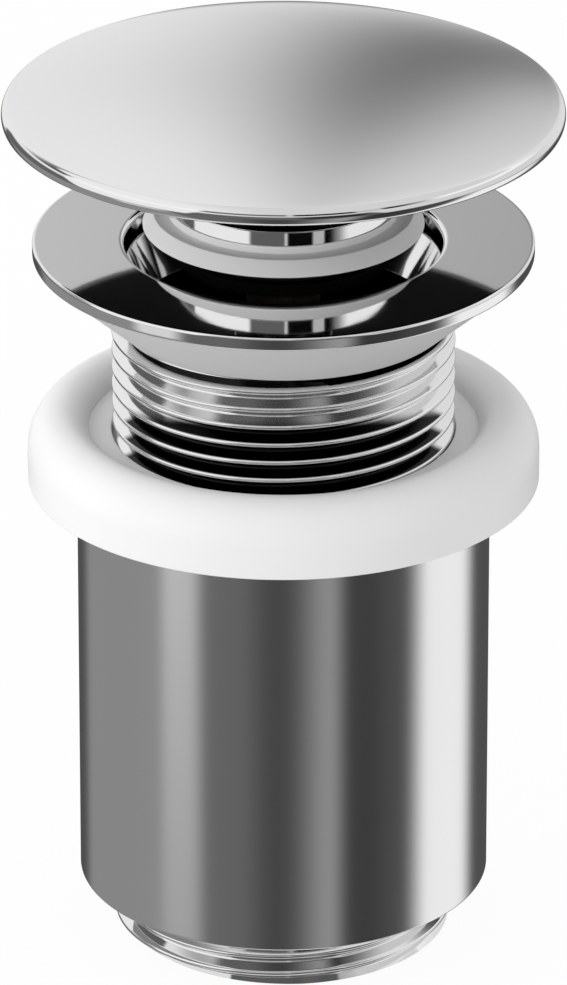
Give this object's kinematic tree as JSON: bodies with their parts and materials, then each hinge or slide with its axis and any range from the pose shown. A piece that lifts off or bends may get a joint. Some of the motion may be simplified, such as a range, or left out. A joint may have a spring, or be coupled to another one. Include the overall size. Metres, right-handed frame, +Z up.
{
  "type": "basin waste",
  "caption": "Push-to-close basin waste with a polished mushroom cap, seal rings, a screwed tail and a sleeve body with a threaded outlet.",
  "frame": {"origin": "centre of the outlet's bottom face", "axes": "+Z up along the waste's axis towards the cap; X and Y lie between the carrier's arms, with X along the follower pin"},
  "size_m": [0.0682, 0.0682, 0.115],
  "materials": {
    "chrome": "polished chrome plate",
    "white_rubber": "smooth, satin",
    "grey_rubber": "smooth, matt",
    "black_rubber": "smooth, matt",
    "white_plastic": "natural acetal, slightly glossy",
    "dark_plastic": "moulded, fine matt grain",
    "fibre": "pressed fibre",
    "brass": "turned",
    "steel": "stainless, turned"
  },
  "bodies": {
    "waste_body": {"flange_body": "chrome", "flange_seal": "grey_rubber", "cartridge_carrier": "dark_plastic", "cartridge_barrel": "brass", "joint_washer": "fibre", "barrel_lock_nut": "brass", "guide_bush": "white_plastic", "stem_ring": "black_rubber", "bush_clip": "steel", "thrust_washer": "white_plastic", "spring_end_plug": "brass", "return_spring": "steel"},
    "plug": {"cap_dome": "chrome", "cap_backing": "dark_plastic", "stem_lock_nut": "steel", "plug_collar": "chrome", "plug_seal_ring": "white_rubber", "seal_retainer": "dark_plastic", "plunger_stem": "steel", "follower_pin": "steel"},
    "index": {"index_sleeve": "white_plastic"},
    "clamp_stack": {"lower_gasket": "white_rubber", "slip_washer": "white_plastic"},
    "sleeve": {"tail_sleeve": "chrome"}
  },
  "joints": [
    {"name": "plug_slide", "type": "slide", "parent": "waste_body", "child": "plug", "axis": [0, 0, 1], "range_m": [-0.01, 0], "stiffness_N_per_m": 600, "springref_m": 0.012, "deforming": ["return_spring"]},
    {"name": "index_turn", "type": "hinge", "parent": "waste_body", "child": "index", "pos_m": [0, 0, 0.0528], "axis": [0, 0, 1], "range_deg": [-0.1, 60.1]},
    {"name": "clamp_slide", "type": "slide", "parent": "waste_body", "child": "clamp_stack", "axis": [0, 0, 1], "range_m": [-0.00694, 0.01156]},
    {"name": "sleeve_turn", "type": "hinge", "parent": "clamp_stack", "child": "sleeve", "pos_m": [0, 0, 0.0588], "axis": [0, 0, 1], "range_deg": [-1080, 1800]}
  ],
  "couplings": [
    {"joint": "index_turn", "follows": "plug_slide", "rad_per_m": -104.72},
    {"joint": "clamp_slide", "follows": "sleeve_turn", "m_per_rad": 0.00036749}
  ]
}
